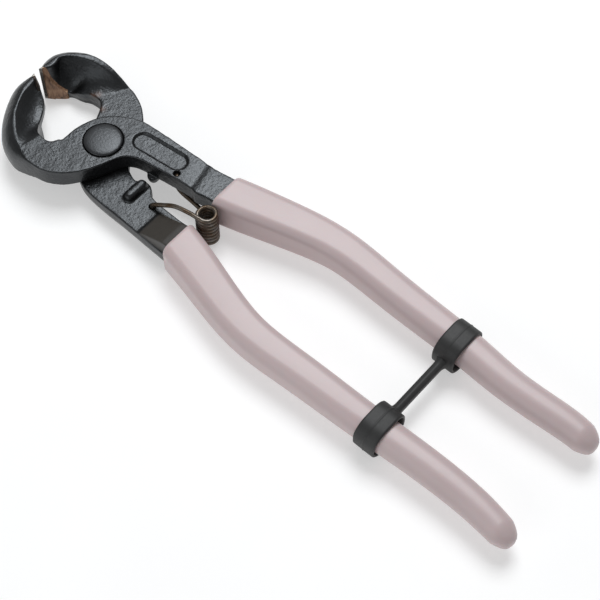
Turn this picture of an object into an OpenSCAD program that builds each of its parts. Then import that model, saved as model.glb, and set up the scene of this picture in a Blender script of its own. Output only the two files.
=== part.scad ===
// Mosaic glass nippers: two crossed cast levers on a rivet, brazed carbide tips,
// a torsion return spring, dipped vinyl grips and a moulded keeper strap.
// Millimetres. The tool lies flat: X runs from the jaws to the handle ends, Z is the pivot axis.
// Every outline is given from the pivot; place() moves the whole tool onto its resting plane.

/* [Levers] */
// Thickness of each lever's flat plate at the pivot
plate_t = 6.2; // [5:0.1:8]
// Clearance between the two plates
plate_gap = 0.2; // [0.1:0.05:0.4]
// Width of the jaws, along the cutting edges
jaw_w = 15; // [13:0.5:18]
// Thickness of the steel bar inside each grip
bar_t = 6.4; // [5:0.2:6.6]

/* [Pivot] */
// Radius of the rivet's shank
shank_r = 4; // [3:0.1:4.5]
// Radial running clearance of the shank in the upper lever
run_clear = 0.05; // [0.02:0.01:0.1]
// Radius of the rivet's heads
head_r = 6; // [5:0.1:6.5]
// Height of each head's dome above its lever
dome_h = 0.8; // [0.4:0.1:1.1]

/* [Spring] */
// Wire diameter
wire_d = 1.3; // [1:0.1:1.5]
// Mean coil diameter
coil_d = 5.4; // [5:0.1:5.6]
// Height of one turn
coil_pitch = 1.7; // [1.5:0.05:1.8]
// Number of whole turns, besides the half turn that joins the legs
coil_turns = 7; // [5:1:7]

/* [Grips] */
// Where the grips start, from the pivot
grip_x0 = 40.3; // [39:0.1:42]
// Where the grips end, from the pivot
grip_x1 = 175; // [165:1:180]
// Corner radius of the grips' section
grip_corner = 4; // [3:0.5:4.2]
// Wall of the vinyl at the sides
grip_wall = 1.6; // [1:0.1:2]

/* [Strap] */
// Centre of the rings, from the pivot
strap_x = 124; // [110:1:140]
// Width of the rings, along the grips
ring_len = 7.5; // [6:0.5:10]
// Outer size of the rings across the tool
ring_w = 15.4; // [15:0.1:17]
// Outer height of the rings
ring_h = 13.4; // [13.2:0.1:14.5]
// Wall of the rings
ring_wall = 1.7; // [1.2:0.1:2]
// Width of the bar between the rings
strap_bar_w = 2.7; // [2:0.1:4]

/* [Hidden] */

half_w = jaw_w / 2;
gap_z = plate_gap / 2;
plate_z = gap_z + plate_t;
// Middle of the whole tool, from the pivot
mid_x = 68.97;
mid_y = 0.8;
// End of the plate inside the grip, and the neck ramp that deepens the handle under it
plate_x1 = 46;
ramp_x0 = 27.5;
ramp_z = 5;
// Barrel-shaped backs of the jaws: radius at half their width, and how much less it is at the faces
barrel_r = 21.9;
barrel_drop = 4.5;
// Radius of the concave wall between plate and jaw
cove_r = 10;
// Raised stop boss
boss_x = 17.4;
boss_r = 1.5;
boss_h = 2.2;
// Sunk panel on the neck
panel_x0 = 9.6;
panel_x1 = 22.8;
panel_y = 8.2;
panel_r = 2.6;
panel_depth = 0.5;
// Rivet seat
seat_depth = 0.8;
seat_clear = 0.3;
head_gap = 0.05;
// Spring: coil axis, and the holes for its legs
coil_x = 41.9;
coil_y = 1.2;
upper_hole = [25.3, 5.6];
lower_hole = [24.8, 4.9];
hole_r = 0.95;
// Rise of each handle's middle at the start of its grip, and where it has faded out
handle_rise = 0.65;
rise_x1 = 75;
// Grip's section: how much lower than wide, how much it deepens with the rise, least flat beside a corner
section_less = 0.5;
section_grow = 0.8;
section_flat = 0.4;
// Grip's blunt end: rings, degrees from one to the next, reach, and its height and corners against its width
end_rings = 4;
end_step = 21;
end_reach = 4;
end_height = 0.95;
end_corner = 0.42;
// Strap
ring_y_upper = 18.6;
ring_y_lower = 17.2;
ring_corner = 5.4;
// Cutting edges: outer corner of each jaw, direction of its inner face, and the way into the steel
upper_edge = [-33.6, 3.5];
upper_face = [4.6, -2.1] / norm([4.6, -2.1]);
lower_edge = [-33.7, -5.6];
lower_face = [4.5, -2.8] / norm([4.5, -2.8]);
tip_into = [-0.5, -1] / norm([-0.5, -1]);
// Carbide strip and the braze beside it: reach along the inner face, and depth
tip_w = 1.3;
tip_depth = 3;
braze_w = 5.5;
braze_depth = 0.9;
// Sides of the neck ramps
upper_ramp_y0 = 6.8;
upper_ramp_y1 = 15.6;
lower_ramp_y0 = 5.2;
lower_ramp_y1 = 14.4;
// Jaw shapes: middle of the barrel that rounds the back, and where the cove starts and how it is turned
upper_barrel = [-16, 0];
lower_barrel = [-16.3, -9];
upper_foot = [-19, -12.4];
lower_foot = [-14.5, -17];
upper_cove_turn = 18.6;
lower_cove_turn = 34;
cove_reach = 80;
// Balls that hollow the jaw's outer side
scoop_at = [-21.8, -2.5, 15];
scoop_r = 12;
toe_at = [-23, -7.5, 11.2];
toe_r = 7;
upper_scoop_turn = 0;
lower_scoop_turn = 15;
// Ends of the stop bosses across the levers
upper_boss_y0 = 1.75;
upper_boss_y1 = 8.5;
lower_boss_y0 = 0.2;
lower_boss_y1 = 8.6;
// How far the cutters run past the steel, and how far the neck's ramp runs into the plate
tip_past = 4;
tip_out = 2;
bore_reach = 10;
seat_reach = 5;
panel_past = 2;
ramp_into = 1;

// Spring coil
coil_half = coil_pitch * (coil_turns + 0.5) / 2;
coil_sides = 20;
coil_steps = (coil_turns + 0.5) * coil_sides;

// ---------- helpers ----------

// Point of a Catmull-Rom curve between b and c
function curve_at(a, b, c, d, t) =
    0.5 * (2 * b + (c - a) * t + (2 * a - 5 * b + 4 * c - d) * t * t + (3 * b - a - 3 * c + d) * t * t * t);

// Smooth closed outline through a few points
function closed_curve(p, steps = 5) =
    let (n = len(p))
    [for (i = [0:n - 1]) for (k = [0:steps - 1])
        curve_at(p[(i + n - 1) % n], p[i], p[(i + 1) % n], p[(i + 2) % n], k / steps)];

// Smooth open line through a few points
function open_curve(p, steps = 5) =
    let (n = len(p))
    concat(
        [for (i = [0:n - 2]) for (k = [0:steps - 1])
            curve_at(p[max(i - 1, 0)], p[i], p[i + 1], p[min(i + 2, n - 1)], k / steps)],
        [p[n - 1]]);

function unit(v) = v / norm(v);

// Direction of a line at its point i
function heading(p, i) = unit(p[min(i + 1, len(p) - 1)] - p[max(i - 1, 0)]);

// Solid swept along rings of equal length
module skin(rings) {
    n = len(rings[0]);
    m = len(rings);
    polyhedron(
        points = [for (r = rings) for (q = r) q],
        faces = concat(
            [[for (j = [0:n - 1]) n - 1 - j]],
            [for (i = [0:m - 2]) for (j = [0:n - 1])
                [i * n + j, i * n + (j + 1) % n, (i + 1) * n + (j + 1) % n, (i + 1) * n + j]],
            [[for (j = [0:n - 1]) (m - 1) * n + j]]));
}

// Round wire along a line
module wire(p, r, sides = 10) {
    skin([for (i = [0:len(p) - 1])
        let (t = heading(p, i),
             side = unit(cross(t, abs(t[2]) > 0.9 ? [1, 0, 0] : [0, 0, 1])),
             up = cross(side, t))
        [for (k = [0:sides - 1]) p[i] + r * (cos(360 * k / sides) * side + sin(360 * k / sides) * up)]]);
}

// The tool is drawn about its pivot and stood on the undersides of its jaws
module place() translate([-mid_x, -mid_y, half_w]) children();

module turned_over() rotate([180, 0, 0]) children();

// ---------- outlines ----------

// Upper lever's plate, seen from above: far edge, jaw crest, near edge, throat
upper_plate = [
    [46, 16.8], [40, 16.3], [30, 15.3], [22, 14.6], [13, 14.1], [4, 13.2], [-1, 10.9], [-5, 8], [-8, 3.5],
    [-9.6, -2], [-9.8, -8], [-12, -11], [-16, -11.2], [-20.2, -8.6], [-25, -1.4], [-31, 1.8], [-32.5, -1],
    [-30, -6], [-27, -10.8], [-22, -15.8], [-16.5, -19.5], [-10, -20.6], [-5, -19.6], [-0.5, -16.6],
    [3, -12.4], [5.6, -7.5], [8.2, -1.2], [10.6, 1.2], [14.4, 2.9], [20, 3.7], [27, 4.7], [34, 5], [46, 6.4]];

// Upper jaw at its fullest: its back from the cutting edge round, then its inner face
upper_jaw_back = [
    [-33.6, 3.5], [-36.2, 0.6], [-36.4, -3.8], [-34.2, -9.2], [-31, -14], [-27.2, -18], [-23.4, -20.5],
    [-19, -21.7], [-14, -21.6], [-11, -21.2]];
upper_jaw_front = [
    [-11, -13], [-16, -11.2], [-20.2, -8.6], [-25, -1.4], [-28, 0.9]];

// Lower lever's plate, turned over with its lever
lower_plate = [
    [46, 15.4], [40, 15.2], [30, 14.9], [22, 14.6], [11, 14.4], [4, 13.6], [-1, 11.2], [-5, 8.4], [-8.4, 2],
    [-10.2, -4], [-12, -8.6], [-15, -12.8], [-19.6, -12.8], [-22, -11.5], [-26.3, -10.2], [-31, -8.2],
    [-32.6, -11], [-32.4, -15], [-29.5, -18.4], [-24, -21.2], [-16, -22.4], [-9, -22], [-3.9, -19.8],
    [0.2, -16.4], [3, -12], [7, -4], [9.6, -0.6], [11.8, 0.6], [14.2, 1.3], [16, -0.1], [18.6, -0.4],
    [20.6, 0.7], [21.8, 2.1], [25.2, 2.8], [34, 3], [46, 3.4]];

lower_jaw_back = [
    [-33.7, -5.6], [-36.4, -8.6], [-37, -13], [-35, -17.6], [-32.2, -20.4], [-28.6, -22.3], [-24, -23],
    [-18.5, -23], [-11, -22.2]];
lower_jaw_front = [
    [-11, -14], [-15, -12.8], [-19.6, -12.8], [-22, -11.5], [-28, -9]];

// Middle lines of the handles, with the grip's width at each point
upper_handle = [
    [grip_x0, 11.2, 13.2], [52, 14.6, 12.7], [64, 18, 12.1], [75, 20.5, 11.4], [85, 20.9, 11],
    [101, 19.8, 10.8], [118, 19.5, 10.5], [140, 18.5, 10], [156, 18.6, 9.5], [grip_x1 - 4, 20, 9]];
lower_handle = [
    [grip_x0, 9.9, 13.2], [50, 12.2, 12.7], [61, 15.4, 12.1], [74, 18.6, 11.4], [85, 18.9, 11],
    [101, 18.1, 10.8], [118, 18, 10.5], [140, 16.7, 10], [156, 17, 9.5], [grip_x1 - 4, 19, 9]];

// ---------- levers ----------

// Steel bar inside a grip, narrowing with it
module handle_bar(handle) {
    line = open_curve(handle, 3);
    last = len(line) - 4;
    function edge(i, side) =
        let (t = heading(line, i), w = line[i][2] / 2 - grip_wall, s = norm([t[0], t[1]]))
        [line[i][0] - side * w * t[1] / s, line[i][1] + side * w * t[0] / s];
    translate([0, 0, -bar_t / 2])
        linear_extrude(bar_t)
            polygon(concat([for (i = [0:last]) edge(i, -1)], [for (i = [0:last]) edge(last - i, 1)]));
}

// Neck that deepens from the plate to the full depth of the handle
module neck_ramp(y0, y1)
    translate([0, y1, 0])
        rotate([90, 0, 0])
            linear_extrude(y1 - y0)
                polygon([[ramp_x0, gap_z], [ramp_x0, ramp_into], [plate_x1, ramp_into], [plate_x1, -ramp_z],
                         [grip_x0, -ramp_z]]);

// Barrel that rounds the back of a jaw
module barrel(centre)
    translate([centre[0], centre[1], 0])
        rotate_extrude($fn = 96)
            polygon(concat(
                [[0, -half_w]],
                [for (i = [-6:6]) let (k = i / 6) [barrel_r - barrel_drop * k * k, half_w * k]],
                [[0, half_w]]));

module jaw(back, front, centre)
    intersection() {
        translate([0, 0, -half_w])
            linear_extrude(jaw_w)
                polygon(concat(open_curve(back, 3), front));
        barrel(centre);
    }

// Takes away everything below the plate up to a concave wall that rises to the jaw's tip
module cove(foot, turn)
    translate([foot[0], foot[1], -cove_r])
        rotate([0, 0, turn]) {
            rotate([90, 0, 0]) cylinder(r = cove_r, h = cove_reach, center = true, $fn = 96);
            translate([0, -cove_reach / 2, -cove_r]) cube([cove_reach, cove_reach, 2 * cove_r + gap_z]);
        }

// Spoon-shaped hollow on the outer side of the jaw
module scoop(turn)
    rotate([0, 0, turn]) {
        translate(scoop_at) sphere(r = scoop_r, $fn = 72);
        translate(toe_at) sphere(r = toe_r, $fn = 72);
    }

// Raised pill on the plate's inner side: its end is the closing stop
module stop_boss(y0, y1)
    translate([boss_x, 0, -boss_h]) {
        translate([-boss_r, y0 + boss_r, 0]) cube([2 * boss_r, y1 - y0 - 2 * boss_r, boss_h + 1]);
        for (y = [y0 + boss_r, y1 - boss_r])
            translate([0, y, 0]) cylinder(r = boss_r, h = boss_h + 1, $fn = 48);
    }

// Sunk pill-shaped panel on the plate's outer side
module sunk_panel()
    translate([0, panel_y, plate_z - panel_depth]) {
        translate([panel_x0, -panel_r, 0]) cube([panel_x1 - panel_x0, 2 * panel_r, panel_past]);
        for (x = [panel_x0, panel_x1])
            translate([x, 0, 0]) cylinder(r = panel_r, h = panel_past, $fn = 48);
    }

// Jaw and plate of one lever, with the hollows but no bores
module head_blank(plate, back, front, centre, foot, turn, scoop_turn)
    difference() {
        union() {
            translate([0, 0, gap_z]) linear_extrude(plate_t) polygon(closed_curve(plate, 4));
            difference() {
                jaw(back, front, centre);
                cove(foot, turn);
            }
        }
        scoop(scoop_turn);
    }

module upper_head()
    head_blank(upper_plate, upper_jaw_back, upper_jaw_front, upper_barrel, upper_foot, upper_cove_turn,
               upper_scoop_turn);

module lower_head()
    head_blank(lower_plate, lower_jaw_back, lower_jaw_front, lower_barrel, lower_foot, lower_cove_turn,
               lower_scoop_turn);

// Corner block of a jaw along its cutting edge: along the inner face, then into the steel
module tip_zone(edge, face, from, to, depth)
    translate([0, 0, -half_w - 1])
        linear_extrude(jaw_w + 2)
            polygon([for (q = [[from, -tip_out], [to, -tip_out], [to, depth], [from, depth]])
                edge + q[0] * face + q[1] * tip_into]);

// Stepped recess that takes the carbide and, beside it, the braze
module tip_recess(edge, face)
    translate([0, 0, -half_w - 1])
        linear_extrude(jaw_w + 2)
            polygon([for (q = [[-tip_past, -tip_out], [braze_w, -tip_out], [braze_w, braze_depth],
                               [tip_w, braze_depth], [tip_w, tip_depth], [-tip_past, tip_depth]])
                edge + q[0] * face + q[1] * tip_into]);

// Everything of the upper lever that its grip fits over
module upper_handle_steel() {
    handle_bar(upper_handle);
    neck_ramp(upper_ramp_y0, upper_ramp_y1);
}

module lower_handle_steel() {
    handle_bar(lower_handle);
    neck_ramp(lower_ramp_y0, lower_ramp_y1);
}

// Hole right through a lever
module bore(at, r, sides)
    translate([at[0], at[1], -bore_reach])
        cylinder(r = r, h = 2 * bore_reach, $fn = sides);

// Seat for the rivet's head, sunk into the plate
module rivet_seat(clear)
    translate([0, 0, plate_z - seat_depth])
        cylinder(r = head_r + clear, h = seat_reach, $fn = 96);

module upper_lever()
    color("#3a3b3d")
        place()
            difference() {
                union() {
                    upper_head();
                    upper_handle_steel();
                    stop_boss(upper_boss_y0, upper_boss_y1);
                }
                tip_recess(upper_edge, upper_face);
                bore([0, 0], shank_r + run_clear, 96);
                rivet_seat(seat_clear);
                sunk_panel();
                bore(upper_hole, hole_r, 48);
            }

module lower_lever()
    color("#323335")
        place()
            turned_over()
                difference() {
                    union() {
                        lower_head();
                        lower_handle_steel();
                        stop_boss(lower_boss_y0, lower_boss_y1);
                    }
                    tip_recess(lower_edge, lower_face);
                    bore([0, 0], shank_r, 96);
                    rivet_seat(0);
                    sunk_panel();
                    bore(lower_hole, hole_r, 48);
                }

// ---------- tips ----------

module upper_carbide()
    color("#6d6d6c")
        place()
            intersection() {
                upper_head();
                tip_zone(upper_edge, upper_face, -tip_past, tip_w, tip_depth);
            }

module lower_carbide()
    color("#6d6d6c")
        place()
            turned_over()
                intersection() {
                    lower_head();
                    tip_zone(lower_edge, lower_face, -tip_past, tip_w, tip_depth);
                }

module upper_braze()
    color("#7a4a30")
        place()
            intersection() {
                upper_head();
                tip_zone(upper_edge, upper_face, tip_w, braze_w, braze_depth);
            }

module lower_braze()
    color("#7a4a30")
        place()
            turned_over()
                intersection() {
                    lower_head();
                    tip_zone(lower_edge, lower_face, tip_w, braze_w, braze_depth);
                }

// ---------- rivet ----------

// Disc with a low dome, from its flat underside up
module rivet_head() {
    rise = dome_h;
    dome_r = (head_r * head_r + rise * rise) / (2 * rise);
    rotate_extrude($fn = 96)
        polygon(concat(
            [[0, 0], [head_r, 0], [head_r, seat_depth]],
            [for (i = [1:8]) let (x = head_r * (1 - i / 8))
                [x, seat_depth + rise - dome_r + sqrt(dome_r * dome_r - x * x)]]));
}

module pivot_rivet()
    color("#47494c")
        place() {
            seat_z = plate_z - seat_depth;
            translate([0, 0, -seat_z]) cylinder(r = shank_r, h = 2 * seat_z + head_gap, $fn = 96);
            translate([0, 0, seat_z + head_gap]) rivet_head();
            translate([0, 0, -seat_z]) rotate([180, 0, 0]) rivet_head();
        }

// ---------- spring ----------

// From the upper lever's hole down and along to the coil
upper_leg = [
    [upper_hole[0], upper_hole[1], 5.2], [upper_hole[0], upper_hole[1], 1.5], [25.5, 5.5, -0.7],
    [28, 4.9, -1.5], [32, 4, -2.3], [36, 3.3, -4.2], [39, 3.5, -5.9]];

function coil_point(i) =
    let (a = 90 - 360 * i / coil_sides)
    [coil_x + coil_d / 2 * cos(a), coil_y + coil_d / 2 * sin(a), -coil_half + 2 * coil_half * i / coil_steps];

// From the coil along to the lower lever's hole and down
lower_leg = [
    [38.5, -1.9, 6.2], [33, -2.8, 5.6], [28.6, -4, 3.4], [25.2, -4.8, 1],
    [lower_hole[0], -lower_hole[1], -0.6], [lower_hole[0], -lower_hole[1], -4]];

module return_spring()
    color("#4a4038")
        place()
            wire(concat(open_curve(upper_leg, 3), [for (i = [0:coil_steps]) coil_point(i)],
                        open_curve(lower_leg, 3)), wire_d / 2);

// ---------- grips ----------

// Rounded rectangle in the plane across the handle, 5 points to a corner
function section(at, t, w, h, r) =
    let (across = unit([-t[1], t[0]]))
    [for (c = [[1, 1, 0], [-1, 1, 90], [-1, -1, 180], [1, -1, 270]]) for (k = [0:4])
        let (a = c[2] + 22.5 * k, u = c[0] * (w / 2 - r) + r * cos(a), v = c[1] * (h / 2 - r) + r * sin(a))
        [at[0] + across[0] * u, at[1] + across[1] * u, at[2] + v]];

module grip_blank(handle) {
    line = open_curve(handle, 3);
    last = len(line) - 1;
    end_t = unit([for (k = [0:1]) heading(line, last)[k]]);
    end_w = line[last][2];
    skin(concat(
        [for (i = [0:last])
            let (t = i == 0 ? [1, 0] : heading(line, i),
                 rise = handle_rise * max(0, 1 - (line[i][0] - grip_x0) / (rise_x1 - grip_x0)))
            section([line[i][0], line[i][1], rise], t, line[i][2],
                    line[i][2] - section_less + section_grow * rise,
                    min(grip_corner, line[i][2] / 2 - section_flat))],
        [for (k = [1:end_rings])
            let (a = end_step * k, w = end_w * cos(a), run = end_reach * sin(a))
            section([line[last][0] + end_t[0] * run, line[last][1] + end_t[1] * run, 0], end_t, w,
                    end_height * w, end_corner * w)]));
}

module upper_grip()
    color("#cfc3c3")
        place()
            difference() {
                grip_blank(upper_handle);
                upper_handle_steel();
                upper_head();
            }

module lower_grip()
    color("#cfc3c3")
        place()
            turned_over()
                difference() {
                    grip_blank(lower_handle);
                    lower_handle_steel();
                    lower_head();
                }

// ---------- strap ----------

module rounded_rect(w, h, r) {
    square([w - 2 * r, h], center = true);
    square([w, h - 2 * r], center = true);
    for (x = [-1, 1]) for (y = [-1, 1])
        translate([x * (w / 2 - r), y * (h / 2 - r)]) circle(r = r, $fn = 48);
}

// Ring across the tool: its plane is YZ
module strap_ring(y)
    translate([strap_x - ring_len / 2, y, 0])
        rotate([90, 0, 90])
            linear_extrude(ring_len)
                difference() {
                    rounded_rect(ring_w, ring_h, ring_corner);
                    rounded_rect(ring_w - 2 * ring_wall, ring_h - 2 * ring_wall, ring_corner - ring_wall);
                }

module upper_strap_ring()
    color("#3c3c3d") place() strap_ring(ring_y_upper);

module lower_strap_ring()
    color("#3c3c3d") place() strap_ring(-ring_y_lower);

module strap_bar() {
    y0 = -ring_y_lower + ring_w / 2;
    y1 = ring_y_upper - ring_w / 2;
    color("#3c3c3d")
        place()
            translate([strap_x - strap_bar_w / 2, y0, -strap_bar_w / 2])
                cube([strap_bar_w, y1 - y0, strap_bar_w]);
}

upper_lever();
lower_lever();
upper_carbide();
lower_carbide();
upper_braze();
lower_braze();
pivot_rivet();
return_spring();
upper_grip();
lower_grip();
upper_strap_ring();
lower_strap_ring();
strap_bar();
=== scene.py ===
"""Mosaic glass nippers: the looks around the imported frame.

Lengths are in millimetres from the pivot, with z from the plane between the two levers; place() turns them
into metres in the frame. A lever is made as its own casting, plate side up, and the lower one is turned over.
"""
import math

import bmesh
import bpy
import numpy as np
from mathutils import Matrix, Vector, noise


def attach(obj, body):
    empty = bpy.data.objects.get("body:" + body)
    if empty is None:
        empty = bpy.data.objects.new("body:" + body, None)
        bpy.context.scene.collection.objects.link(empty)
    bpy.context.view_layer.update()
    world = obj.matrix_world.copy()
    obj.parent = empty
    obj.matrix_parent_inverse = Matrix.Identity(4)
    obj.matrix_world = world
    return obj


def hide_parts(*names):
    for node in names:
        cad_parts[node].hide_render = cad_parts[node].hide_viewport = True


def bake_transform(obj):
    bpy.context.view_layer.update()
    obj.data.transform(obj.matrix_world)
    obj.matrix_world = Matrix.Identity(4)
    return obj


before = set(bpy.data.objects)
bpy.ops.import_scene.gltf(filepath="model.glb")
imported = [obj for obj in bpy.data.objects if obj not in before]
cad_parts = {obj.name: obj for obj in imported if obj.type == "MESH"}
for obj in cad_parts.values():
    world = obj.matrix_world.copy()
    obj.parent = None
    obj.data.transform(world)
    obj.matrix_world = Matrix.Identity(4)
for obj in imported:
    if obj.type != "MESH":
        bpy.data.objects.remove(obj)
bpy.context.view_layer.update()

# ---------- sizes, in millimetres ----------

MM = 0.001
MID = (68.97, 0.8)         # middle of the tool from the pivot
JAW_HALF = 7.5             # half the jaws' width
GAP = 0.1                  # half the clearance between the plates
PLATE_Z = 6.3              # top of a plate
PIVOT_TO_FRAME = Matrix.Translation((-MID[0], -MID[1], JAW_HALF))
TURN_OVER = Matrix.Rotation(math.pi, 4, "X")

REACH = 12.0               # how far cutters run above and below the plane between the levers

# Rivet and its seat
SHANK_R = 4.0
BORE_R = 4.05
HEAD_R = 6.0
# Radius, and height above the plate
HEAD = ((0, 0.85), (2, 0.83), (3.8, 0.74), (5, 0.6), (5.6, 0.46), (5.9, 0.3), (HEAD_R, 0.1))
HEAD_GAP = 0.05
HEAD_BEVEL = 0.1
SEAT_DEPTH = 0.8
SEAT_CLEAR = 0.3

# Spring
WIRE_R = 0.71
COIL = (41.9, 1.2)
COIL_R = 2.85
COIL_PITCH = 1.7
COIL_TURNS = 7.5
COIL_SIDES = 40            # points to a turn
UPPER_HOLE = (25.3, 5.9)
LOWER_HOLE = (24.8, 4.9)
HOLE_R = 1.05

# Grips
GRIP_X0 = 40.3
HANDLE_STEPS = 8           # steps from one point of a handle's line to the next, and smoothing passes over it
HANDLE_PASSES = 30
GRIP_MOUTH = ((1.6, 0.05), (0.5, 0.0), (0.15, 0.12), (0.0, 0.45))     # inwards, along the handle
MOUTH_TURN = 7             # sections from the mouth, square to the tool, to the handle's own direction
GRIP_LESS = 0.5            # how much lower than wide a section is
GRIP_GROW = 0.8            # how much of the handle's rise deepens it
GRIP_FLAT = 0.4            # least flat beside a corner
GRIP_CORNER = 3.0
CORNER_GROW = 1.2          # how much rounder the corners become from ROUND_X on, over ROUND_RUN
ROUND_X = 70.0
ROUND_RUN = 60.0
GRIP_TIP = 5.2             # length of the blunt tip
# Run and width of the tip's sections, as parts of its length and of the grip's width
TIP_SHAPE = ((0.20, 0.95), (0.42, 0.86), (0.63, 0.75), (0.81, 0.62), (0.93, 0.47), (1.0, 0.26))
TIP_DROOP = 0.18
TIP_HEIGHT = 0.95          # height and corners of the tip's sections against their width
TIP_CORNER = 0.42
HANDLE_RISE = 0.65         # rise of the handle's middle at the mouth, and where it has faded out
RISE_X1 = 75.0

# Strap
STRAP_X = 124.0
RING_LEN = 7.5
RING_W = 14.4
RING_H = 12.3
RING_WALL = 0.9
RING_CORNER = 5.4
RING_Y = (18.2, -16.9)
BAR_W = 2.7
BAR_BITE = 0.6             # how far the bar runs into each ring
FLARES = ((0.5, 1.3), (0.35, 1.1))     # extra width and length, at the upper and at the lower ring

# ---------- outlines, each with its own casting's plate side up ----------

# back and face: the jaw at its fullest, outside and inside. crest: the jaw's back at the rims of its hollows.
# scoop and cove: the hollows above and below; each row is a point on the crest, then one on the inner face.
# mating: what is cut away below the plate. draft: how far the plate's top draws in. braze: its far end.
# rust: spots. edge and along: the cutting edge and the direction of the inner face. boss and ramp: their ends
# across the lever. handle: the grip's middle line, with its width. seed: where its pebbles are in the noise.
UPPER = {
    "plate": [
        (46, 16.6), (40, 15.9), (36.4, 15.3), (33.2, 14.8), (30.3, 14.8), (22, 14.4), (13, 14), (4, 13.2),
        (-1, 10.9), (-5, 8), (-8, 3.5), (-9.6, -2), (-9.8, -8), (-12, -11), (-16, -11.2), (-20.2, -8.6),
        (-25, -1.4), (-31, 1.8), (-32.5, -1), (-30, -6), (-27, -10.8), (-22, -15.8), (-16.5, -19.5),
        (-10, -20.6), (-5, -19.6), (-0.5, -16.6), (3, -12.4), (5.6, -7.5), (8.2, -1.2), (10.6, 1.2),
        (13.8, 2.4), (20, 3.4), (25.5, 4.2), (30.6, 4.8), (32.6, 4.9), (33.8, 4.5), (38, 5.4), (46, 6.8)],
    "back": [
        (-33.6, 3.5), (-36.2, 0.6), (-36.4, -3.8), (-34.2, -9.2), (-31, -14), (-27.2, -18), (-23.4, -20.5),
        (-19, -21.7), (-14, -21.6), (-10, -21.1), (-5, -20), (-0.5, -17), (2.6, -13.1)],
    "crest": [
        (-33.6, 3.5), (-33.5, 0.8), (-32.8, -3), (-30.4, -6.8), (-27.6, -11), (-23.6, -14.8), (-19.8, -17.8),
        (-16, -19.8), (-12.8, -20.7), (-9.8, -20.5), (-5, -19.5), (-0.8, -16.5), (2.1, -12.8)],
    "face": [(-2, -8), (-9.6, -8), (-12, -10.9), (-16, -11.2), (-20.2, -8.6), (-25, -1.4), (-28, 0.9)],
    "scoop": [
        (-31.9, 2.3, 7.7, -31, 1.9, 7), (-31.3, 1, 7.7, -29.6, 1.3, 6), (-31, -0.6, 7.6, -27.8, 0.5, 5),
        (-30.8, -2.6, 7.6, -25.8, -0.7, 4), (-29.6, -6, 7.4, -24.3, -2.8, 3.2),
        (-27.3, -10, 7.1, -22.8, -4.9, 3),
        (-24.3, -13, 6.9, -21.5, -6.8, 3.1), (-21.6, -15.3, 6.7, -20.2, -8.8, 3.8),
        (-19.2, -17, 6.5, -18, -10.4, 5.3), (-17, -18.4, 6.4, -16.2, -11, 6.35)],
    "cove": [
        (-33, 2.9, -7.7, -32.9, 3, -7.2), (-31.7, 1.6, -7.7, -31.6, 2.4, -4.6),
        (-31.2, 0, -7.6, -30.2, 1.7, -2.4), (-31, -2, -7.5, -28.6, 0.9, -0.8),
        (-29.8, -5.6, -7.2, -26.6, -0.2, -0.1), (-27.3, -9.6, -6.6, -24.6, -2, 0),
        (-24.3, -13, -6, -22.8, -4.6, 0.05), (-21.6, -15.6, -4.6, -21.5, -6.6, 0.08),
        (-17.5, -19.2, -2.9, -20.4, -8, 0.1), (-13.2, -21.2, -1.5, -19.8, -9, 0.1),
        (-8.6, -21, 0.05, -19, -10, 0.1)],
    "mating": [(-5.6, -27), (-9, -20.6), (-20.3, -8.4), (-22, -2), (-22, 30), (90, 30), (90, -27)],
    "draft": 0.0,
    "braze": 5.5,
    "rust": [],
    "edge": (-33.6, 3.5),
    "along": (4.6, -2.1),
    "boss": (1.75, 8.5),
    "ramp": (6.8, 15.6),
    "hole": UPPER_HOLE,
    "handle": [
        (GRIP_X0, 11.2, 13.2), (52, 14.6, 12.7), (64, 18, 12.1), (75, 20.5, 11.4), (85, 20.9, 11),
        (101, 19.8, 10.8), (118, 19.6, 10.6), (128, 19.2, 10.5), (137, 18.4, 10.2), (145, 18, 9.8),
        (155, 18.4, 9.7), (163, 18.9, 9.5), (167.8, 18.6, 9.2)],
    "seed": 3.0,
}
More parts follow.
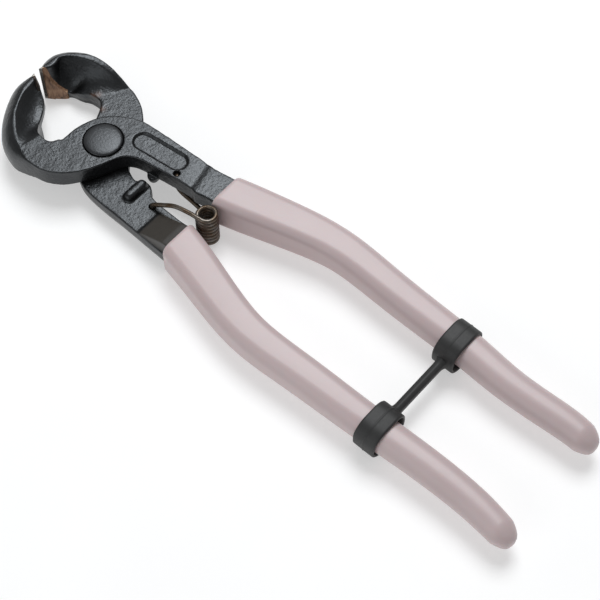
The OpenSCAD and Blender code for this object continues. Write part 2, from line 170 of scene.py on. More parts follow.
LOWER = {
    "plate": [
        (46, 15.4), (40, 15.2), (30, 14.9), (22, 14.6), (11, 14.4), (4, 13.6), (-1, 11.2), (-5, 8.4),
        (-8.4, 2), (-10.2, -4), (-12, -8.6), (-15, -12.8), (-19.6, -12.8), (-22, -11.5), (-26.3, -10.2),
        (-31, -8.2), (-32.6, -11), (-32.4, -15), (-29.5, -18.4), (-24, -21.2), (-16, -22.4), (-9, -22),
        (-3.9, -19.8), (0.2, -16.4), (3, -12), (7, -4), (9.6, -0.6), (11.8, 0.6), (14.2, 1.3), (16, -0.1),
        (18.6, -0.4), (20.6, 0.7), (21.8, 2.1), (25.2, 2.8), (34, 3), (46, 3.4)],
    "back": [
        (-33.7, -5.6), (-36.4, -8.6), (-37, -13), (-35, -17.6), (-32.2, -20.4), (-28.6, -22.3), (-24, -23),
        (-18.5, -23.2), (-13.3, -23), (-9, -22.4), (-3.9, -20.1), (0.2, -16.7)],
    "crest": [
        (-33.7, -5.6), (-33.8, -8.6), (-33.5, -12.8), (-31.4, -15.9), (-28, -18.4), (-24.4, -20.2),
        (-20, -21.4), (-15, -22.1), (-11.6, -22.2), (-8.7, -21.7), (-4, -19.6), (-0.2, -16.4)],
    "face": [
        (-3, -10), (-9.8, -8), (-11.8, -11), (-15, -13.1), (-19.6, -13.1), (-22.6, -11.9), (-26.4, -11),
        (-28.4, -9.1)],
    "scoop": [
        (-32.2, -7, 7.7, -31.6, -7.2, 7.3), (-32.2, -10.4, 7.6, -28.8, -8.8, 6.9),
        (-30, -15.2, 7.4, -25.4, -10.8, 6.6), (-24, -19, 6.9, -21.6, -12.2, 6.5),
        (-18.4, -20.8, 6.5, -17.8, -13.1, 6.35)],
    "cove": [
        (-33.1, -6.3, -7.7, -33, -6, -7.2), (-31.9, -8, -7.7, -32.2, -6.6, -4.5),
        (-31.5, -9.6, -7.6, -31.2, -7.1, -2), (-31.6, -11.4, -7.5, -30, -7.8, -0.2),
        (-32, -13.2, -7.4, -28.6, -8.4, 1.6), (-30, -15.8, -7.1, -27, -9.4, 3),
        (-26.4, -18.3, -6.3, -25.5, -10.6, 2.8), (-23, -19.8, -5.3, -23.5, -11.3, 1.4),
        (-19, -20.9, -3.7, -20.8, -12, 0.5),
        (-15.4, -21.6, -1.8, -18.8, -12.3, 0.1), (-11.9, -22.2, 0.05, -17.6, -12.5, 0.1)],
    "mating": [(-9.2, -27), (-12, -22.2), (-17.7, -12.5), (-19.5, -9.5), (-19.5, 20), (90, 20), (90, -27)],
    "draft": 0.9,
    "braze": 7.8,
    "rust": [(-18.4, -12.7, 0.3), (-17.2, -14.4, 0.1), (-12.2, -11.2, -0.2)],
    "edge": (-33.7, -5.6),
    "along": (4.5, -2.8),
    "boss": (0.2, 8.6),
    "ramp": (5.2, 14.4),
    "hole": LOWER_HOLE,
    "handle": [
        (GRIP_X0, 9.9, 13.2), (50, 12.2, 12.7), (61, 15.4, 12.1), (74, 18.6, 11.4), (85, 18.9, 11),
        (101, 18.1, 10.8), (118, 18, 10.5), (140, 16.7, 10), (156, 17, 9.6), (163, 17.8, 9.3),
        (167.6, 18.5, 8.9)],
    "seed": 11.0,
}

# ---------- mesh helpers ----------


def curve_through(points, steps, closed=False):
    """Catmull-Rom line through a few points."""
    p = np.array(points, float)
    n = len(p)
    out = []
    for i in range(n if closed else n - 1):
        if closed:
            a, b, c, d = p[i - 1], p[i], p[(i + 1) % n], p[(i + 2) % n]
        else:
            a, b, c, d = p[max(i - 1, 0)], p[i], p[i + 1], p[min(i + 2, n - 1)]
        for k in range(steps):
            t = k / steps
            out.append(0.5 * (2 * b + (c - a) * t + (2 * a - 5 * b + 4 * c - d) * t * t
                              + (3 * b - a - 3 * c + d) * t ** 3))
    if not closed:
        out.append(p[-1])
    return np.array(out)


def mesh_object(name, points, faces):
    """New object from points in millimetres from the pivot."""
    data = bpy.data.meshes.new(name)
    data.from_pydata([tuple(map(float, q)) for q in points], [], faces)
    work = bmesh.new()
    work.from_mesh(data)
    bmesh.ops.recalc_face_normals(work, faces=work.faces)
    work.to_mesh(data)
    work.free()
    obj = bpy.data.objects.new(name, data)
    bpy.context.scene.collection.objects.link(obj)
    return obj


def loft(name, rings, closed=False):
    """Skin over rings of equal length, with flat ends or closed on itself."""
    n = len(rings[0])
    m = len(rings)
    faces = []
    for i in range(m if closed else m - 1):
        for j in range(n):
            k = (j + 1) % n
            faces.append((i * n + j, i * n + k, (i + 1) % m * n + k, (i + 1) % m * n + j))
    if not closed:
        faces.append(tuple(range(n - 1, -1, -1)))
        faces.append(tuple((m - 1) * n + j for j in range(n)))
    return mesh_object(name, [q for r in rings for q in r], faces)


def prism(name, outline, z0, z1):
    return loft(name, [[(x, y, z0) for x, y in outline], [(x, y, z1) for x, y in outline]])


def lathe(name, profile, steps=96, at=(0, 0)):
    """Solid turned about a vertical axis from (radius, z) points, the first and last on the axis."""
    rings = []
    for k in range(steps):
        a = 2 * math.pi * k / steps
        rings.append([(at[0] + r * math.cos(a), at[1] + r * math.sin(a), z) for r, z in profile])
    obj = loft(name, rings, closed=True)
    work = bmesh.new()
    work.from_mesh(obj.data)
    bmesh.ops.remove_doubles(work, verts=work.verts, dist=1e-4)
    bmesh.ops.dissolve_degenerate(work, edges=work.edges, dist=1e-4)
    bmesh.ops.recalc_face_normals(work, faces=work.faces)
    work.to_mesh(obj.data)
    work.free()
    return obj


def rod(name, at, radius, z0=-REACH, z1=REACH):
    return lathe(name, [(0, z0), (radius, z0), (radius, z1), (0, z1)], 48, at)


def bake(obj):
    """Applies the object's modifiers."""
    graph = bpy.context.evaluated_depsgraph_get()
    graph.update()
    data = bpy.data.meshes.new_from_object(obj.evaluated_get(graph))
    obj.modifiers.clear()
    obj.data = data
    return obj


def combine(obj, operation, *others):
    """Boolean of the object with the others, which are used up."""
    for other in others:
        step = obj.modifiers.new("step", "BOOLEAN")
        step.operation = operation
        step.solver = "MANIFOLD"
        step.object = other
        bake(obj)
        bpy.data.objects.remove(other)
    return obj


def copy_of(obj, name):
    new = obj.copy()
    new.data = obj.data.copy()
    new.name = name
    bpy.context.scene.collection.objects.link(new)
    return new


def remesh(obj, size, smooth):
    """Even skin with the softened edges of a casting."""
    step = obj.modifiers.new("skin", "REMESH")
    step.mode = "VOXEL"
    step.voxel_size = size
    soften = obj.modifiers.new("soften", "SMOOTH")
    soften.factor = 0.5
    soften.iterations = smooth
    return bake(obj)


def shade_smooth(obj):
    obj.data.polygons.foreach_set("use_smooth", [True] * len(obj.data.polygons))


def vertex_array(obj):
    co = np.empty(len(obj.data.vertices) * 3, np.float32)
    obj.data.vertices.foreach_get("co", co)
    return co.reshape(-1, 3).astype(float)


def store_vertices(obj, co):
    obj.data.vertices.foreach_set("co", co.astype(np.float32).ravel())
    obj.data.update()


def normals_array(obj):
    n = np.empty(len(obj.data.vertices) * 3, np.float32)
    obj.data.vertex_normals.foreach_get("vector", n)
    return n.reshape(-1, 3).astype(float)


def in_frame(x, y):
    """Point of the plane between the levers, in metres in the frame."""
    return Vector((x - MID[0], y - MID[1], JAW_HALF)) * MM


def finish_piece(obj, body, material, slot, *nodes, over=False):
    """Puts a finished piece into the frame, in metres, with its material and body."""
    if over:
        obj.data.transform(TURN_OVER)
    obj.data.transform(Matrix.Scale(MM, 4) @ PIVOT_TO_FRAME)
    obj.data.materials.clear()
    obj.data.materials.append(material)
    shade_smooth(obj)
    if body:
        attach(obj, body)
    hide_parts(*nodes)
    return obj


# ---------- material helpers ----------


class Nodes:
    """Short way to write a node material. Coordinates are object coordinates in millimetres."""

    def __init__(self, name):
        self.material = bpy.data.materials.new(name)
        self.material.use_nodes = True
        self.tree = self.material.node_tree
        self.shader = self.tree.nodes["Principled BSDF"]
        where = self.tree.nodes.new("ShaderNodeTexCoord")
        scale = self.tree.nodes.new("ShaderNodeVectorMath")
        scale.operation = "SCALE"
        scale.inputs["Scale"].default_value = 1 / MM
        self.tree.links.new(where.outputs["Object"], scale.inputs[0])
        self.mm = scale.outputs["Vector"]

    def link(self, a, b):
        self.tree.links.new(a, b)

    def noise(self, per_mm, detail=3.0, rough=0.55, stretch=None):
        n = self.tree.nodes.new("ShaderNodeTexNoise")
        n.inputs["Scale"].default_value = per_mm
        n.inputs["Detail"].default_value = detail
        n.inputs["Roughness"].default_value = rough
        if stretch:
            m = self.tree.nodes.new("ShaderNodeMapping")
            m.inputs["Scale"].default_value = stretch
            self.link(self.mm, m.inputs["Vector"])
            self.link(m.outputs["Vector"], n.inputs["Vector"])
        else:
            self.link(self.mm, n.inputs["Vector"])
        return n.outputs["Fac"]

    def ramp(self, value, stops):
        r = self.tree.nodes.new("ShaderNodeValToRGB")
        while len(r.color_ramp.elements) < len(stops):
            r.color_ramp.elements.new(0.5)
        for e, (at, colour) in zip(r.color_ramp.elements, stops):
            e.position = at
            e.color = (*colour, 1)
        self.link(value, r.inputs["Fac"])
        return r.outputs["Color"]

    def map(self, value, low, high, from_low=0.0, from_high=1.0):
        m = self.tree.nodes.new("ShaderNodeMapRange")
        m.inputs["From Min"].default_value = from_low
        m.inputs["From Max"].default_value = from_high
        m.inputs["To Min"].default_value = low
        m.inputs["To Max"].default_value = high
        self.link(value, m.inputs["Value"])
        return m.outputs["Result"]

    def mix(self, factor, a, b):
        m = self.tree.nodes.new("ShaderNodeMix")
        m.data_type = "RGBA"
        self.link(factor, m.inputs["Factor"])
        self.link(a, m.inputs["A"])
        self.link(b, m.inputs["B"])
        return m.outputs["Result"]

    def math(self, operation, a, b):
        m = self.tree.nodes.new("ShaderNodeMath")
        m.operation = operation
        self.link(a, m.inputs[0])
        if isinstance(b, float):
            m.inputs[1].default_value = b
        else:
            self.link(b, m.inputs[1])
        return m.outputs["Value"]

    def attribute(self, name):
        a = self.tree.nodes.new("ShaderNodeAttribute")
        a.attribute_name = name
        return a.outputs["Fac"]

    def bump(self, height, distance, strength=1.0):
        b = self.tree.nodes.new("ShaderNodeBump")
        b.inputs["Distance"].default_value = distance * MM
        b.inputs["Strength"].default_value = strength
        self.link(height, b.inputs["Height"])
        return b.outputs["Normal"]

    def done(self, colour, roughness, normal=None, **values):
        """Links what varies, and sets the rest on the shader's own sockets."""
        for value, socket in ((colour, "Base Color"), (roughness, "Roughness"), (normal, "Normal")):
            if value is None:
                continue
            if isinstance(value, float):
                self.shader.inputs[socket].default_value = value
            else:
                self.link(value, self.shader.inputs[socket])
        for name, value in values.items():
            self.shader.inputs[name.replace("_", " ").title().replace("Ior", "IOR")].default_value = value
        return self.material


SHEEN = (0.90, 0.95, 1.0, 1)    # the black paint shines a little blue


def cast_paint():
    """Semi-gloss black paint over a rough sand casting, thin and brown on the ground neck patch."""
    n = Nodes("cast_paint")
    pebble = n.noise(1.5, 3.0, 0.55)
    grit = n.noise(3.6, 2.0, 0.5)
    patches = n.noise(0.12, 3.0)
    patch = n.attribute("smooth_patch")
    height = n.math("ADD", pebble, n.math("MULTIPLY", grit, 0.20))
    height = n.math("MULTIPLY", height, n.map(patch, 1.0, 0.12))
    black = n.ramp(patches, [(0.3, (0.002, 0.002, 0.002)), (0.7, (0.006, 0.006, 0.0065))])
    brown = n.ramp(grit, [(0.3, (0.026, 0.021, 0.016)), (0.7, (0.044, 0.037, 0.029))])
    rust = n.ramp(pebble, [(0.3, (0.09, 0.034, 0.016)), (0.7, (0.17, 0.072, 0.034))])
    colour = n.mix(n.attribute("rust"), n.mix(patch, black, brown), rust)
    mottle = n.math("ADD", n.math("MULTIPLY", patches, 0.6), n.math("MULTIPLY", grit, 0.4))
    rough = n.math("ADD", n.map(mottle, 0.26, 0.40, 0.35, 0.65), n.math("MULTIPLY", patch, 0.16))
    n.shader.inputs["Specular Tint"].default_value = SHEEN
    return n.done(colour, rough, n.bump(height, 0.10, 1.0), metallic=0.0, ior=1.56)


def rivet_paint():
    n = Nodes("rivet_paint")
    pebble = n.noise(1.3, 3.0, 0.55)
    grit = n.noise(3.0, 2.0, 0.5)
    n.shader.inputs["Specular Tint"].default_value = SHEEN
    colour = n.ramp(n.noise(0.3), [(0.3, (0.008, 0.008, 0.009)), (0.7, (0.016, 0.0165, 0.018))])
    return n.done(colour, n.map(grit, 0.30, 0.42, 0.3, 0.7), n.bump(pebble, 0.07, 0.8), ior=1.56)


def carbide_ground():
    n = Nodes("carbide_ground")
    lines = n.noise(3.0, 3.0, 0.6, stretch=(1, 1, 6))
    colour = n.ramp(lines, [(0.3, (0.14, 0.13, 0.12)), (0.7, (0.32, 0.30, 0.27))])
    return n.done(colour, n.map(lines, 0.3, 0.5), n.bump(lines, 0.04), metallic=0.8)


def copper_braze(name, stops):
    """Brazing metal, drawn in streaks along the jaw's height."""
    n = Nodes(name)
    blobs = n.noise(0.9, 4.0, 0.6, stretch=(1.4, 1.4, 0.35))
    fine = n.noise(4.0, 3.0)
    colour = n.ramp(blobs, list(zip((0.28, 0.5, 0.72), stops)))
    return n.done(colour, n.map(fine, 0.35, 0.6), n.bump(blobs, 0.15, 0.8), metallic=0.45)


def spring_steel():
    """Drawn wire, mottled brown as a painted reflection of its surroundings."""
    n = Nodes("spring_steel")
    drawn = n.noise(2.0, 3.0, 0.6)
    # painted reflection: the brown stops of the ramp below stand in for the surroundings reflected in the
    # wire
    painted_reflection_mottle = n.noise(0.30, 3.0)
    colour = n.ramp(painted_reflection_mottle, [(0.32, (0.085, 0.052, 0.030)), (0.5, (0.12, 0.095, 0.072)),
                            (0.7, (0.16, 0.15, 0.14))])
    return n.done(colour, n.map(drawn, 0.24, 0.40, 0.3, 0.7), n.bump(drawn, 0.03), metallic=0.8)


def dipped_vinyl():
    """Dusty pink dipped vinyl with faint ripples from the dip."""
    n = Nodes("dipped_vinyl")
    cloud = n.noise(0.045, 2.0)
    ripple = n.noise(0.12, 2.0, 0.4)
    skin = n.noise(3.5, 2.0, 0.5)
    colour = n.ramp(cloud, [(0.3, (0.520, 0.418, 0.420)), (0.7, (0.545, 0.440, 0.442))])
    height = n.math("ADD", ripple, n.math("MULTIPLY", skin, 0.04))
    return n.done(colour, n.map(skin, 0.36, 0.42, 0.3, 0.7), n.bump(height, 0.20, 0.6),
                  subsurface_weight=0.08, subsurface_scale=0.002)


def strap_rubber():
    n = Nodes("strap_rubber")
    bloom = n.noise(0.35, 3.0)
    skin = n.noise(5.0, 3.0)
    colour = n.ramp(bloom, [(0.3, (0.014, 0.014, 0.014)), (0.7, (0.022, 0.022, 0.022))])
    return n.done(colour, n.map(skin, 0.50, 0.62, 0.3, 0.7), n.bump(skin, 0.03, 0.7))


PAINT = cast_paint()
RIVET = rivet_paint()
CARBIDE = carbide_ground()
BRAZE = {
    "upper": copper_braze("dark_braze", ((0.010, 0.009, 0.008), (0.025, 0.018, 0.014), (0.07, 0.04, 0.025))),
    "lower": copper_braze("copper_braze", ((0.09, 0.052, 0.034), (0.26, 0.145, 0.085), (0.40, 0.245, 0.15))),
}
STEEL = spring_steel()
VINYL = dipped_vinyl()
RUBBER = strap_rubber()

# ---------- levers ----------

BULGE_R = 8.2              # roundness of the jaws' backs, from one crest to the other
JAW_LAYERS = 10            # layers in half a jaw
JAW_RISE_X = -15.0         # where the jaw's outer side starts to rise from the plate, and over what length
JAW_RISE_RUN = 12.0
CREST_PULL = 1.15          # how far the back rolls in at the crest, beyond the crest line
HOLLOW_REACH = 0.4         # how far a hollow eats into the crest
HOLLOW_BEND = 1.9          # how steeply a hollow falls at its crest
HOLLOW_OUT = 6.0           # how far its cutter runs past the crest, past the inner face, and out of the jaw
HOLLOW_PAST = 5.0
HOLLOW_FAR = 16.0

TIP_W = 1.0                # carbide and braze: reach along the inner face, and depth
TIP_DEPTH = 3.0
BRAZE_DEPTH = 0.9
TIP_PAST = 4.0             # how far their cutters run past the cutting edge, and out of the inner face
TIP_OUT = 2.0
TIP_BEVEL = 0.06
INTO = (-0.447, -0.894)    # way from the inner face into the jaw

BOSS_X = 17.4
BOSS_R = 1.5
BOSS_RINGS = ((1.9, 0.8), (1.85, 0.0), (1.65, -1.2), (1.35, -1.8), (0.8, -2.2), (0.2, -2.3))     # radius, z
PANEL = ((9.4, 7.8), (22.5, 9.3), 3.35, 0.8)     # ends of its middle line, half width, depth
PANEL_SLOPE = 0.6
PANEL_PAST = 2.0
RAMP_SIDE = (              # x and z of the neck's side, where it deepens to the handle
    (27, 0.6), (28.2, -0.2), (34, -2.8), (38, -4.6), (41, -5.2), (46, -5.2), (46, 1), (27, 1))
LEVER_END = 40.9           # where a lever's skin stops, inside its grip
DIP = ((32.3, 9.7), 12.4, 1.6, 1.5, 0.36)        # line across the neck: point, turn, offset, width, depth
DIP_Z = 3.0                # height at which the dip starts to count, and what it takes to count in full
DIP_FADE = 2.0

CASTING_SKIN = (0.26, 7)   # voxel and smoothing passes, before and after the machining
MACHINED_SKIN = (0.2, 3)
RELIEF = 0.04              # pebbles: height, number to a millimetre, and how far the ground patch loses them
RELIEF_SCALE = 0.55
RELIEF_LOSS = 0.85
PATCH_X = 28.3             # where the ground patch under the neck starts, and over what length
PATCH_FADE = 0.8
RUST = 0.6                 # strength of the rust, and the square of its spread
RUST_SPREAD = 0.9


def jaw_top(x):
    """Height of the jaw's outer side, which falls to the plate's behind the jaw."""
    t = min(max((JAW_RISE_X - x) / JAW_RISE_RUN, 0), 1)
    return PLATE_Z + (JAW_HALF - PLATE_Z) * t * t * (3 - 2 * t)


def jaw_blank(name, c):
    """Jaw whose back is fullest at half its width and draws in to the crests."""
    mid = curve_through(c["back"], 5)
    crest = curve_through(c["crest"], 5)
    face = curve_through(c["face"] + [c["edge"]], 4)[:-1]
    full = BULGE_R - math.sqrt(BULGE_R ** 2 - JAW_HALF ** 2)
    rings = []
    for k in range(-JAW_LAYERS, JAW_LAYERS + 1):
        z = JAW_HALF * k / JAW_LAYERS
        f = (BULGE_R - math.sqrt(BULGE_R ** 2 - z * z)) / full
        back = mid + f * (1 + (CREST_PULL - 1) * f) * (crest - mid)
        outline = np.vstack([back, face])
        rings.append([(x, y, z * jaw_top(x) / JAW_HALF if z > 0 else z) for x, y in outline])
    return loft(name, rings)


def hollow(name, sections, side):
    """Cutter for a hollow that falls from the jaw's crest and levels out at its inner face.

    side is 1 for a hollow that is open upwards and -1 for one that is open downwards.
    """
    rings = []
    for row in curve_through(sections, 6):
        crest, inner = row[:3], row[3:]
        way = (inner - crest)[:2] / np.linalg.norm((inner - crest)[:2])
        crest = crest - HOLLOW_REACH * np.array((*way, 0))
        out = crest[:2] - HOLLOW_OUT * way
        past = inner[:2] + HOLLOW_PAST * way
        far = HOLLOW_FAR * side
        ring = [(*out, far), (*out, crest[2])]
        for t in np.linspace(0, 1, 13):
            x, y = (crest + t * (inner - crest))[:2]
            ring.append((x, y, inner[2] + (crest[2] - inner[2]) * (1 - t) ** HOLLOW_BEND))
        rings.append(ring + [(*past, inner[2]), (*past, far)])
    return loft(name, rings)


def inset(outline, by):
    """Outline moved inwards along its normals; the outline runs anticlockwise."""
    ahead = np.roll(outline, -1, axis=0) - np.roll(outline, 1, axis=0)
    ahead /= np.linalg.norm(ahead, axis=1)[:, None]
    return outline + by * np.stack([-ahead[:, 1], ahead[:, 0]], axis=1)


def head_blank(name, c):
    """Jaw and plate of one lever, with its hollows but no bores."""
    mating = prism("mating", c["mating"], -REACH, GAP)
    jaw = combine(jaw_blank(name, c), "DIFFERENCE", hollow("cove", c["cove"], -1), mating)
    outline = curve_through(c["plate"], 5, closed=True)
    plate = loft("plate", [[(x, y, z) for x, y in inset(outline, c["draft"] * t)]
                           for z, t in ((GAP, 0), (PLATE_Z / 2, 0), (PLATE_Z, 1))])
    head = combine(jaw, "UNION", plate)
    return combine(head, "DIFFERENCE", hollow("scoop", c["scoop"], 1), hollow("cove", c["cove"], -1))


def tip_zone(c, first, last, depth):
    """Corner block along the cutting edge."""
    along = np.array(c["along"]) / np.linalg.norm(c["along"])
    into = np.array(INTO)
    edge = np.array(c["edge"])
    corners = ((first, -TIP_OUT), (last, -TIP_OUT), (last, depth), (first, depth))
    outline = [edge + a * along + b * into for a, b in corners]
    return prism("zone", outline, -JAW_HALF - 1, JAW_HALF + 1)


def pill(radius, length, z):
    """Outline of a pill that starts at the origin and lies along X."""
    left = np.linspace(math.pi / 2, 1.5 * math.pi, 17)
    right = np.linspace(-math.pi / 2, math.pi / 2, 17)
    return ([(radius * math.cos(a), radius * math.sin(a), z) for a in left]
            + [(length + radius * math.cos(a), radius * math.sin(a), z) for a in right])


def stop_boss(c):
    """Raised pill with sloping sides and a rounded top, across the lever."""
    y0, y1 = c["boss"]
    half_turn = np.linspace(-1.57, 1.57, 15)
    rings = []
    for r, z in BOSS_RINGS:
        rings.append([(BOSS_X - r * math.sin(a), y0 + BOSS_R - r * math.cos(a), z) for a in half_turn]
                     + [(BOSS_X + r * math.sin(a), y1 - BOSS_R + r * math.cos(a), z) for a in half_turn])
    return loft("boss", rings)


def neck_ramp(c):
    """Neck that deepens from the plate to the full depth of the handle."""
    return loft("ramp", [[(x, y, z) for x, z in RAMP_SIDE] for y in c["ramp"]])


def dip(co):
    """Long shallow dip across the neck's plate side, as a fall in height for each point."""
    at, turn, offset, width, depth = DIP
    a = math.radians(turn)
    across = (co[:, 0] - at[0]) * math.cos(a) + (co[:, 1] - at[1]) * math.sin(a)
    return depth * np.exp(-((across + offset) / width) ** 2) * np.clip((co[:, 2] - DIP_Z) / DIP_FADE, 0, 1)


def panel_cutter():
    """Sunk pill-shaped panel with sloping walls."""
    (x0, y0), (x1, y1), r, depth = PANEL
    length = math.hypot(x1 - x0, y1 - y0)
    low = r - PANEL_SLOPE
    high = low + PANEL_SLOPE * (depth + PANEL_PAST) / depth
    obj = loft("panel", [pill(low, length, -depth), pill(high, length, PANEL_PAST)])
    turn = Matrix.Rotation(math.atan2(y1 - y0, x1 - x0), 4, "Z")
    obj.data.transform(Matrix.Translation((x0, y0, PLATE_Z)) @ turn)
    return obj


def store_mask(obj, name, values):
    """Per-vertex value that a material reads."""
    mask = obj.data.attributes.new(name, "FLOAT", "POINT")
    mask.data.foreach_set("value", np.clip(values, 0, 1).astype(np.float32))


def cast_relief(obj, seed):
    """Pebbled skin of the sand casting, as real relief."""
    co = vertex_array(obj)
    out = normals_array(obj)
    place = Vector((seed, 0, 0))
    push = np.array([noise.fractal(Vector(q) * RELIEF_SCALE + place, 0.8, 2.0, 3) for q in co])
    still = np.empty(len(co), np.float32)
    obj.data.attributes["smooth_patch"].data.foreach_get("value", still)
    store_vertices(obj, co + out * (RELIEF * push * (1 - RELIEF_LOSS * still))[:, None])


def rust_at(co, spots):
    """Strength of the rust at each point."""
    rust = np.zeros(len(co))
    for spot in spots:
        rust += np.exp(-((co - spot) ** 2).sum(axis=1) / RUST_SPREAD)
    return RUST * rust


def tip_cutters(c):
    """Zones of the carbide and of the braze."""
    return tip_zone(c, -TIP_PAST, TIP_W, TIP_DEPTH), tip_zone(c, TIP_W, c["braze"], BRAZE_DEPTH)


def tips(head, c, body, nodes, over):
    """Carbide strip and braze, each the part of the jaw that fills its zone."""
    looks = ((CARBIDE, "carbide"), (BRAZE[body], "braze"))
    for zone, (material, slot), node in zip(tip_cutters(c), looks, nodes):
        combine(zone, "INTERSECT", copy_of(head, "tip"))
        zone.name = node + "_look"
        bevel = zone.modifiers.new("edge", "BEVEL")
        bevel.width = TIP_BEVEL
        bevel.segments = 2
        finish_piece(bake(zone), body, material, slot, node, over=over)


def lever(name, c, body, nodes, over):
    """Casting with its tips; nodes are those of the lever, its carbide and its braze. over turns it over."""
    head = head_blank(name, c)
    tips(head, c, body, nodes[1:], over)
    combine(head, "UNION", neck_ramp(c), stop_boss(c))
    remesh(head, *CASTING_SKIN)
    combine(head, "DIFFERENCE", *tip_cutters(c),
            rod("bore", (0, 0), BORE_R),
            rod("seat", (0, 0), HEAD_R + SEAT_CLEAR, PLATE_Z - SEAT_DEPTH, REACH),
            rod("hole", c["hole"], HOLE_R),
            panel_cutter(),
            prism("end", [(LEVER_END, -40), (90, -40), (90, 40), (LEVER_END, 40)], -REACH, REACH))
    remesh(head, *MACHINED_SKIN)
    co = vertex_array(head)
    if not over:
        co[:, 2] -= dip(co)
        store_vertices(head, co)
    under = co[:, 2] < 0
    store_mask(head, "smooth_patch", np.clip((co[:, 0] - PATCH_X) / PATCH_FADE, 0, 1) * under)
    store_mask(head, "rust", rust_at(co, c["rust"]))
    cast_relief(head, c["seed"])
    finish_piece(head, body, PAINT, "lever", nodes[0], over=over)


lever("upper_lever_look", UPPER, "upper", ("upper_lever", "upper_carbide", "upper_braze"), False)
lever("lower_lever_look", LOWER, "lower", ("lower_lever", "lower_carbide", "lower_braze"), True)

# ---------- rivet ----------


def rivet():
    """Shank with a raised, nearly flat head on both sides; HEAD gives radius and height above the plate."""
    seat = PLATE_Z - SEAT_DEPTH + HEAD_GAP
    half = [(r, PLATE_Z + z) for r, z in HEAD]
    half += [(HEAD_R, seat + HEAD_BEVEL), (HEAD_R - HEAD_BEVEL, seat), (SHANK_R, seat)]
    obj = lathe("pivot_rivet_look", half + [(r, -z) for r, z in reversed(half)])
    finish_piece(obj, "lower", RIVET, "rivet", "pivot_rivet")


rivet()

# ---------- spring ----------

COIL_HALF = COIL_PITCH * COIL_TURNS / 2
UPPER_LEG = [
    (*UPPER_HOLE, 5.2), (*UPPER_HOLE, 1.5), (25.6, 5.5, -0.6), (28, 5.1, -1.1), (32, 5, -1.5),
    (36, 4.9, -2.4), (39, 4.6, -4.3), (40.8, 4.1, -5.8)]
LOWER_LEG = [
    (38.5, -1.9, 6.2), (33, -2.8, 5.6), (28.6, -4, 3.4), (25.2, -4.8, 1),
    (LOWER_HOLE[0], -LOWER_HOLE[1], -0.6), (LOWER_HOLE[0], -LOWER_HOLE[1], -4)]


def tube(name, line, radius, sides=16):
    """Round wire along a line, turned as little as possible from ring to ring."""
    line = np.array(line, float)
    heading = np.gradient(line, axis=0)
    heading /= np.linalg.norm(heading, axis=1)[:, None]
    side = np.cross(heading[0], (1, 0, 0))
    side /= np.linalg.norm(side)
    rings = []
    for q, t in zip(line, heading):
        side = side - t * side.dot(t)
        side /= np.linalg.norm(side)
        up = np.cross(t, side)
        rings.append([q + radius * (math.cos(a) * side + math.sin(a) * up)
                      for a in np.linspace(0, 2 * math.pi, sides, endpoint=False)])
    return loft(name, rings)


def spring():
    """Torsion spring: upper leg, coil and lower leg as one wire, attached to neither lever's body."""
    coil = []
    for a in np.linspace(0, COIL_TURNS, int(COIL_TURNS * COIL_SIDES) + 1):
        turn = math.pi / 2 - 2 * math.pi * a
        coil.append((COIL[0] + COIL_R * math.cos(turn), COIL[1] + COIL_R * math.sin(turn),
                     -COIL_HALF + 2 * COIL_HALF * a / COIL_TURNS))
    line = np.vstack([curve_through(UPPER_LEG, 8), coil, curve_through(LOWER_LEG, 8)])
    obj = finish_piece(tube("return_spring_look", line, WIRE_R), None, STEEL, "spring", "return_spring")
    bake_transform(obj)


spring()

# ---------- grips ----------


def section(at, heading, w, h, r, corner_steps=8):
    """Rounded rectangle across the handle."""
    across = np.array((-heading[1], heading[0]))
    ring = []
    for sx, sz, start in ((1, 1, 0), (-1, 1, 90), (-1, -1, 180), (1, -1, 270)):
        for k in range(corner_steps):
            a = math.radians(start + 90 * k / (corner_steps - 1))
            u = sx * (w / 2 - r) + r * math.cos(a)
            v = sz * (h / 2 - r) + r * math.sin(a)
            ring.append((at[0] + across[0] * u, at[1] + across[1] * u, at[2] + v))
    return ring


def smoothed(line, passes):
    """Line with its small kinks taken out and its ends kept."""
    for _ in range(passes):
        line[1:-1] = 0.5 * line[1:-1] + 0.25 * (line[:-2] + line[2:])
    return line


def grip(name, c, body, node, over):
    """Dipped sleeve: a boxy section at the neck that grows rounder to a blunt, drooping tip."""
    line = smoothed(curve_through(c["handle"], HANDLE_STEPS), HANDLE_PASSES)
    heading = np.gradient(line[:, :2], axis=0)
    heading /= np.linalg.norm(heading, axis=1)[:, None]
    start = heading[0].copy()
    for i in range(MOUTH_TURN):
        heading[i] = (1 - i / MOUTH_TURN) * np.array((1, 0)) + i / MOUTH_TURN * heading[i]
        heading[i] /= np.linalg.norm(heading[i])
    rings = []
    for i, ((x, y, w), t) in enumerate(zip(line, heading)):
        rise = HANDLE_RISE * max(0, 1 - (x - GRIP_X0) / (RISE_X1 - GRIP_X0))
        h = w - GRIP_LESS + GRIP_GROW * rise
        rounder = CORNER_GROW * min(max((x - ROUND_X) / ROUND_RUN, 0), 1)
        r = min(GRIP_CORNER + rounder, w / 2 - GRIP_FLAT)
        if i == 0:
            for inwards, run in GRIP_MOUTH:
                at = (x + run, y + run * start[1] / start[0], rise)
                rings.append(section(at, t, w - 2 * inwards, h - 2 * inwards, r - inwards))
        else:
            rings.append(section((x, y, rise), t, w, h, r))
    x, y, w = line[-1]
    t = heading[-1]
    down = 1 if over else -1
    for far, wide in TIP_SHAPE:
        run = GRIP_TIP * far
        shrink = w * wide
        at = (x + t[0] * run, y + t[1] * run, down * TIP_DROOP * (w - shrink))
        rings.append(section(at, t, shrink, TIP_HEIGHT * shrink, TIP_CORNER * shrink))
    finish_piece(loft(name, rings), body, VINYL, "grip", node, over=over)


grip("upper_grip_look", UPPER, "upper", "upper_grip", False)
grip("lower_grip_look", LOWER, "lower", "lower_grip", True)

# ---------- strap ----------


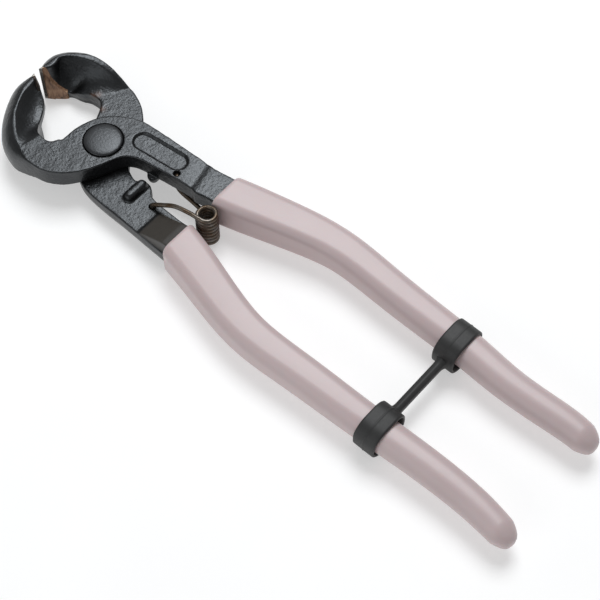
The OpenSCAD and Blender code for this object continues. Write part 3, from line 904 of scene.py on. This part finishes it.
def strap_ring(name, y, body, node):
    """Moulded ring with a fine parting ridge round its middle; its profile is (along, inwards)."""
    half = RING_LEN / 2
    profile = [
        (-half, 0.35), (-half + 0.25, 0.05), (-half + 0.6, 0.0), (-0.5, -0.02), (-0.18, -0.05), (0.0, -0.16),
        (0.18, -0.05), (0.5, -0.02), (half - 0.6, 0.0), (half - 0.25, 0.05), (half, 0.35),
        (half, RING_WALL - 0.25), (half - 0.3, RING_WALL), (-half + 0.3, RING_WALL),
        (-half, RING_WALL - 0.25)]
    rings = []
    for along, inwards in profile:
        w = RING_W - 2 * inwards
        h = RING_H - 2 * inwards
        ring = section((0, 0, 0), (1, 0), w, h, RING_CORNER - inwards, 10)
        rings.append([(STRAP_X + along, y + q[1], q[2]) for q in ring])
    finish_piece(loft(name, rings, closed=True), body, RUBBER, "strap", node)


strap_ring("upper_strap_ring_look", RING_Y[0], "upper", "upper_strap_ring")
strap_ring("lower_strap_ring_look", RING_Y[1], "lower", "lower_strap_ring")


def strap_bar():
    """Flat bar between the rings, with a fine ridge along its top and flared ends."""
    y0 = RING_Y[1] + RING_W / 2 - BAR_BITE
    y1 = RING_Y[0] - RING_W / 2 + BAR_BITE
    w = BAR_W / 2
    outline = [(-w, -0.9), (-w + 0.3, -1.3), (w - 0.3, -1.3), (w, -0.9), (w, 0.9), (w - 0.3, 1.25),
               (0.25, 1.35), (0, 1.5), (-0.25, 1.35), (-w + 0.3, 1.25), (-w, 0.9)]
    rings = []
    for y in np.linspace(y0, y1, 49):
        flare = 1
        for end, (more, run) in zip((y1, y0), FLARES):
            flare += more * math.exp(-((y - end) / run) ** 2)
        rings.append([(STRAP_X + x * flare, y, z * flare) for x, z in outline])
    obj = finish_piece(loft("strap_bar_look", rings), None, RUBBER, "strap", "strap_bar")
    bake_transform(obj)


strap_bar()

# ---------- stage, light and camera ----------

FLOOR_SIZE = 6.0           # half the floor's side, in metres
FLOOR_GLOW = 0.42
SKY = 0.27
LIGHT_COLOUR = (0.965, 0.985, 1.0)
VIEW_AZIMUTH = math.radians(41.2)      # direction of the camera, turned from -Y towards +X
VIEW_ELEVATION = math.radians(60)
VIEW_DISTANCE = 0.4678
VIEW_TARGET = in_frame(80.0, -0.1)


def stage():
    """Plain pale floor under a white sky."""
    s = FLOOR_SIZE
    data = bpy.data.meshes.new("floor")
    data.from_pydata([(-s, -s, 0), (s, -s, 0), (s, s, 0), (-s, s, 0)], [], [(0, 1, 2, 3)])
    floor = bpy.data.objects.new("floor", data)
    bpy.context.scene.collection.objects.link(floor)
    n = Nodes("floor_paper")
    n.shader.inputs["Emission Color"].default_value = (1, 1, 1, 1)
    colour = n.ramp(n.noise(0.02), [(0.3, (0.64, 0.64, 0.64)), (0.7, (0.66, 0.66, 0.66))])
    data.materials.append(n.done(colour, 0.9, emission_strength=FLOOR_GLOW))
    world = bpy.context.scene.world or bpy.data.worlds.new("world")
    bpy.context.scene.world = world
    world.use_nodes = True
    sky = world.node_tree.nodes["Background"]
    sky.inputs["Color"].default_value = (1, 1, 1, 1)
    sky.inputs["Strength"].default_value = SKY


def aimed(name, data, azimuth, elevation, distance):
    """Light or camera that looks at the target from a direction, in radians as VIEW_AZIMUTH is."""
    towards = Vector((math.sin(azimuth) * math.cos(elevation), -math.cos(azimuth) * math.cos(elevation),
                      math.sin(elevation)))
    obj = bpy.data.objects.new(name, data)
    obj.location = VIEW_TARGET + towards * distance
    obj.rotation_euler = (-towards).to_track_quat("-Z", "Y").to_euler()
    bpy.context.scene.collection.objects.link(obj)
    return obj


def softbox(name, azimuth, elevation, distance, size, power):
    """Square light; its azimuth is counted in degrees from the camera's."""
    light = bpy.data.lights.new(name, "AREA")
    light.size = size
    light.energy = power
    light.color = LIGHT_COLOUR
    aimed(name, light, VIEW_AZIMUTH + math.radians(azimuth), math.radians(elevation), distance)


def camera():
    """Long lens, from above and in front of the lower lever."""
    data = bpy.data.cameras.new("camera")
    data.sensor_width = 36
    data.lens = 96
    data.clip_start = 0.01
    data.clip_end = 20
    bpy.context.scene.camera = aimed("camera", data, VIEW_AZIMUTH, VIEW_ELEVATION, VIEW_DISTANCE)


stage()
softbox("key", azimuth=172, elevation=62, distance=1.2, size=0.64, power=10.6)
softbox("fill", azimuth=-42, elevation=20, distance=1.3, size=1.0, power=3.9)
camera()
bpy.context.scene.view_settings.view_transform = "Standard"
